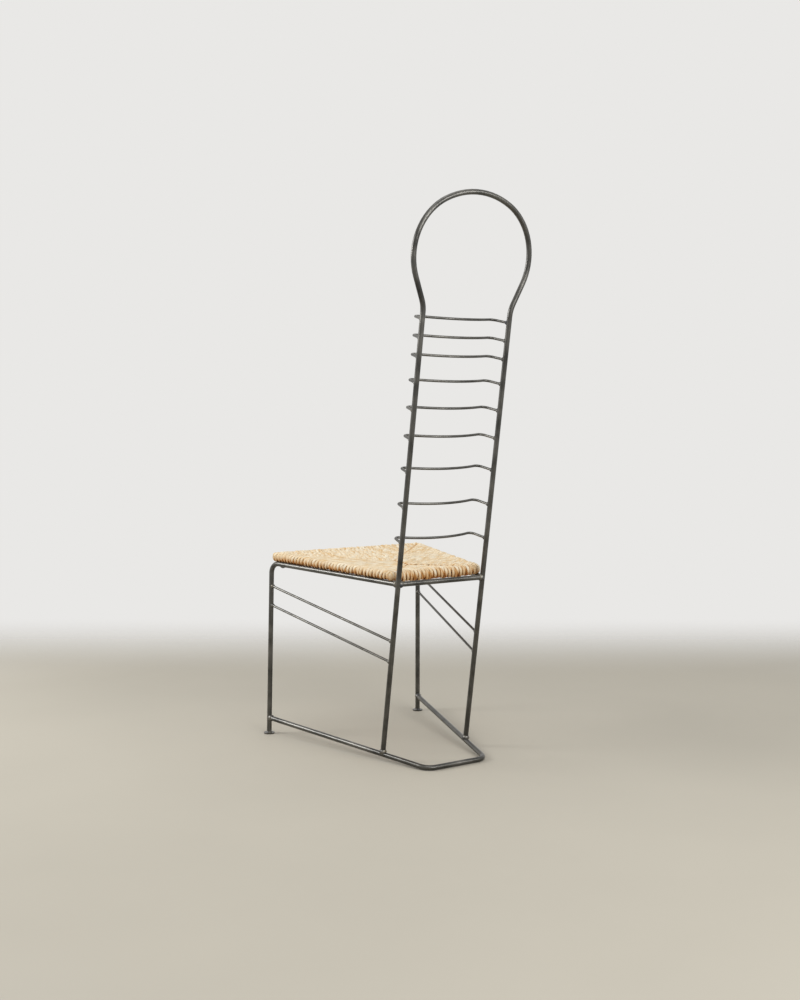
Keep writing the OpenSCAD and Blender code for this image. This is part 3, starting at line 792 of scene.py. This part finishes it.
class CHAIR_OT_stuffing(bpy.types.Operator):
    """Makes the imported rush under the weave, sunk in its middle"""
    bl_idname = "chair.stuffing"
    bl_label = "Stuffing"

    def execute(self, context):
        seat = context.scene.chair_seat
        # Its gaps to the battens and to the weave, how far in and how much its edges thin, as
        # shares, the lumps of its faces, and the cuts of its mesh
        gap = 0.4 * MM
        cover_gap = 0.2 * MM
        rounding = 0.12
        thin_share = 0.25
        lump_depth, lump_wide, lump_long = 0.4 * MM, 9 * MM, 24 * MM
        cuts = 39
        inset = seat.edge_r + seat.batten_w + gap
        bm = bmesh.new()
        bmesh.ops.create_cube(bm, size=2)
        bmesh.ops.subdivide_edges(bm, edges=bm.edges, cuts=cuts, use_grid_fill=True)
        for vert in bm.verts:
            across, forward, up = vert.co
            y = seat.rear_y - inset + (forward - 1) / 2 * (seat.rear_y - seat.front_y - 2 * inset)
            x = across * (side_at(y) - inset / math.cos(seat.taper))
            # The block's edges are a little rounded, and its faces are uneven
            edge = smooth(0, rounding, 1 - max(abs(across), abs(forward)))
            half = (seat.wood_r - cover_gap) * (1 - thin_share * (1 - edge))
            lump = lump_depth * (noise.noise((x / lump_wide, y / lump_long, up)) - 1) * edge
            sunk = sag_at(x, y) if up > 0 else UNDER_SAG * sag_at(x, y)
            vert.co = (x, y, seat.mid_z + up * (half + lump) - sunk)
        piece = finish_mesh(bm, "rush_packing", seat_matrix(), loose_rush("loose_rush"))
        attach(piece, "root")
        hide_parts("rush_stuffing")
        return {"FINISHED"}


class CHAIR_OT_weave(bpy.types.Operator):
    """Weaves the pad: four fields of twisted rush that meet on the diagonals"""
    bl_idname = "chair.weave"
    bl_label = "Woven rush"

    def execute(self, context):
        seat, rush = context.scene.chair_seat, context.scene.chair_rush
        material = dry_rush("dry_rush")
        front = Edge(crown=1.5 * MM, drop=0.0, hang=2 * MM, hang_fade=14 * MM, packing=1.12,
                     parting=0.2, seam=0.3)
        rear = Edge(crown=1.8 * MM, drop=1.6 * MM, hang=4.5 * MM, hang_fade=70 * MM, packing=1.08,
                    parting=0.28, seam=0.6)
        left = Edge(crown=1.2 * MM, drop=0.0, hang=0.4 * MM, hang_fade=60 * MM, packing=1.24,
                    parting=0.05, seam=0.3)
        right = left._replace(crown=2.2 * MM, seam=0.6)
        weave_field("rush_front", rush.front_count, -seat.front_half, seat.front_half, front_strand,
                    front, material, seed=11)
        weave_field("rush_rear", rush.rear_count, -seat.rear_half, seat.rear_half, rear_strand,
                    rear, material, seed=12)
        for name, hand, edge, seed in (("rush_left", 1, left, 13), ("rush_right", -1, right, 14)):
            weave_field(name, rush.side_count, seat.front_y, seat.rear_y,
                        lambda u, hand=hand: side_strand(u, hand),
                        edge, material, seed, corners=((hand, True), (hand, False)))
        loose_ends(material, 15, rush.top_ends, rush.under_ends)
        return {"FINISHED"}


# The camera of the photograph, solved from the chair's own lines
CAMERA_PLACE = Vector((1.64492, 2.50943, 0.80617))
CAMERA_AZIMUTH = math.radians(147.01)
CAMERA_PITCH = math.radians(4.05)
CAMERA_LENS = 45.46

# Soft boxes, with their radiance. The window, beyond the chair at the camera's left, draws the
# bright lines along the side rails, the base and the struts, and the strip at the camera's right
# those on the head loop, the slats and the rear rail
Lamp = namedtuple("Lamp", "name place wide high radiance")
LAMPS = (
    Lamp("soft_box_window", place=(2.3, -1.5, 1.7), wide=0.9, high=1.0, radiance=16.0),
    Lamp("soft_box_top", place=(0.3, 0.2, 3.4), wide=1.4, high=1.4, radiance=2.4),
    Lamp("soft_box_rear", place=(0.9, 2.4, 2.8), wide=1.6, high=1.2, radiance=2.6),
    Lamp("strip_light", place=(-0.65, 3.0, 1.75), wide=2.8, high=0.6, radiance=10.0),
)


class CHAIR_OT_stage(bpy.types.Operator):
    """Makes the floor, the backdrop's light, the lamps and the camera"""
    bl_idname = "chair.stage"
    bl_label = "Stage"

    def execute(self, context):
        self.make_floor(context)
        self.make_world(context)
        self.make_lamps(context)
        self.make_camera(context)
        context.scene.view_settings.view_transform = "Standard"
        return {"FINISHED"}

    def make_floor(self, context):
        """A matt floor that fades out to the backdrop at its rim, and sooner behind the chair"""
        colours = context.scene.chair_colours
        # Its radius, and the shade of its darker patches as a share of its colour
        floor_r = 4.0
        patches = 0.96
        # Where the floor starts to fade and where it is gone, in metres from the middle towards
        # the camera, and in metres out from the middle
        behind_from, behind_to = -0.8, -1.9
        rim_from, rim_to = 1.2, 3.4
        bm = bmesh.new()
        bmesh.ops.create_circle(bm, cap_ends=True, segments=96, radius=floor_r)
        mesh = bpy.data.meshes.new("stage_floor")
        bm.to_mesh(mesh)
        bm.free()
        floor = bpy.data.objects.new("stage_floor", mesh)
        context.scene.collection.objects.link(floor)
        material, tree, shader = new_material("studio_floor")
        place = add(tree, "TexCoord").outputs["Object"]
        cloudy = add(tree, "TexNoise", {}, {"Vector": place, "Scale": per_mm(500), "Detail": 4.0})
        tone = ramp(add(tree, "ValToRGB", {}, {"Fac": cloudy.outputs["Fac"]}),
                    [(0.3, [c * patches for c in colours.floor[:3]] + [1]), (0.7, colours.floor)])
        tree.links.new(tone, shader.inputs["Base Color"])
        shader.inputs["Roughness"].default_value = 0.7
        toward_camera = Vector((CAMERA_PLACE.x, CAMERA_PLACE.y, 0)).normalized()
        ahead = add(tree, "VectorMath", {"operation": "DOT_PRODUCT"}, {0: place, 1: toward_camera})
        behind = add(tree, "MapRange", {"interpolation_type": "SMOOTHSTEP"},
                     {"Value": ahead.outputs["Value"], "From Min": behind_from, "From Max": behind_to})
        radius = add(tree, "VectorMath", {"operation": "LENGTH"}, {0: place})
        rim = add(tree, "MapRange", {"interpolation_type": "SMOOTHSTEP"},
                  {"Value": radius.outputs["Value"], "From Min": rim_from, "From Max": rim_to})
        fade = add(tree, "Math", {"operation": "MAXIMUM"},
                   {0: behind.outputs["Result"], 1: rim.outputs["Result"]})
        clear = add(tree, "BsdfTransparent")
        faded = add(tree, "MixShader", {},
                    {0: fade.outputs["Value"], 1: shader.outputs[0], 2: clear.outputs[0]})
        tree.links.new(faded.outputs[0], tree.nodes["Material Output"].inputs["Surface"])
        mesh.materials.append(material)

    def make_world(self, context):
        """Soft light from all round. The camera and gloss see the plain backdrop in its place."""
        world = bpy.data.worlds.new("studio_light")
        world.use_nodes = True
        context.scene.world = world
        tree = world.node_tree
        tree.nodes.clear()
        path = add(tree, "LightPath")
        seen = path.outputs["Is Camera Ray"]
        for other in ("Is Glossy Ray", "Is Transmission Ray"):
            either = add(tree, "Math", {"operation": "MAXIMUM"}, {0: seen, 1: path.outputs[other]})
            seen = either.outputs["Value"]
        light = add(tree, "Background", {}, {"Color": (1, 1, 1, 1), "Strength": 0.42})
        backdrop = add(tree, "Background", {},
                       {"Color": context.scene.chair_colours.backdrop, "Strength": 1.0})
        mixed = add(tree, "MixShader", {}, {0: seen, 1: light.outputs[0], 2: backdrop.outputs[0]})
        add(tree, "OutputWorld", {}, {"Surface": mixed.outputs[0]})

    def make_lamps(self, context):
        """The soft boxes, all turned to the middle of the chair"""
        middle = Vector((0, 0, 0.6))
        for box in LAMPS:
            lamp = bpy.data.lights.new(box.name, "AREA")
            lamp.shape = "RECTANGLE"
            lamp.size, lamp.size_y = box.wide, box.high
            lamp.energy = box.radiance * math.pi * box.wide * box.high
            holder = bpy.data.objects.new(box.name, lamp)
            holder.location = box.place
            holder.rotation_euler = (middle - Vector(box.place)).to_track_quat("-Z", "Y").to_euler()
            context.scene.collection.objects.link(holder)

    def make_camera(self, context):
        """The photograph's camera"""
        camera = bpy.data.cameras.new("camera")
        camera.lens = CAMERA_LENS
        camera.sensor_width = 36
        camera.clip_end = 60
        holder = bpy.data.objects.new("camera", camera)
        holder.location = CAMERA_PLACE
        forward = Vector((-math.sin(CAMERA_AZIMUTH) * math.cos(CAMERA_PITCH),
                          math.cos(CAMERA_AZIMUTH) * math.cos(CAMERA_PITCH),
                          -math.sin(CAMERA_PITCH)))
        holder.rotation_euler = forward.to_track_quat("-Z", "Y").to_euler()
        context.scene.collection.objects.link(holder)
        context.scene.camera = holder


GROUPS = (("chair_seat", ChairSeatSizes), ("chair_rush", ChairRushSizes), ("chair_colours", ChairColours))
STEPS = (CHAIR_OT_steel, CHAIR_OT_welds, CHAIR_OT_battens, CHAIR_OT_stuffing, CHAIR_OT_weave, CHAIR_OT_stage)


class CHAIR_PT_panel(bpy.types.Panel):
    """Lists the steps that dress the chair, and their settings"""
    bl_idname = "CHAIR_PT_panel"
    bl_label = "Straw seat chair"
    bl_space_type = "VIEW_3D"
    bl_region_type = "UI"
    bl_category = "Chair"

    def draw(self, context):
        for step in STEPS:
            self.layout.operator(step.bl_idname)
        for name, group in GROUPS:
            box = self.layout.box()
            for key in group.__annotations__:
                box.prop(getattr(context.scene, name), key)


def register():
    for name, group in GROUPS:
        bpy.utils.register_class(group)
        setattr(bpy.types.Scene, name, PointerProperty(type=group))
    for cls in (*STEPS, CHAIR_PT_panel):
        bpy.utils.register_class(cls)


def unregister():
    for cls in (CHAIR_PT_panel, *reversed(STEPS)):
        bpy.utils.unregister_class(cls)
    for name, group in reversed(GROUPS):
        delattr(bpy.types.Scene, name)
        bpy.utils.unregister_class(group)


def main():
    """Dresses the chair"""
    register()
    bpy.ops.chair.steel()
    bpy.ops.chair.welds()
    bpy.ops.chair.battens()
    bpy.ops.chair.stuffing()
    bpy.ops.chair.weave()
    bpy.ops.chair.stage()


if __name__ == "__main__":
    main()
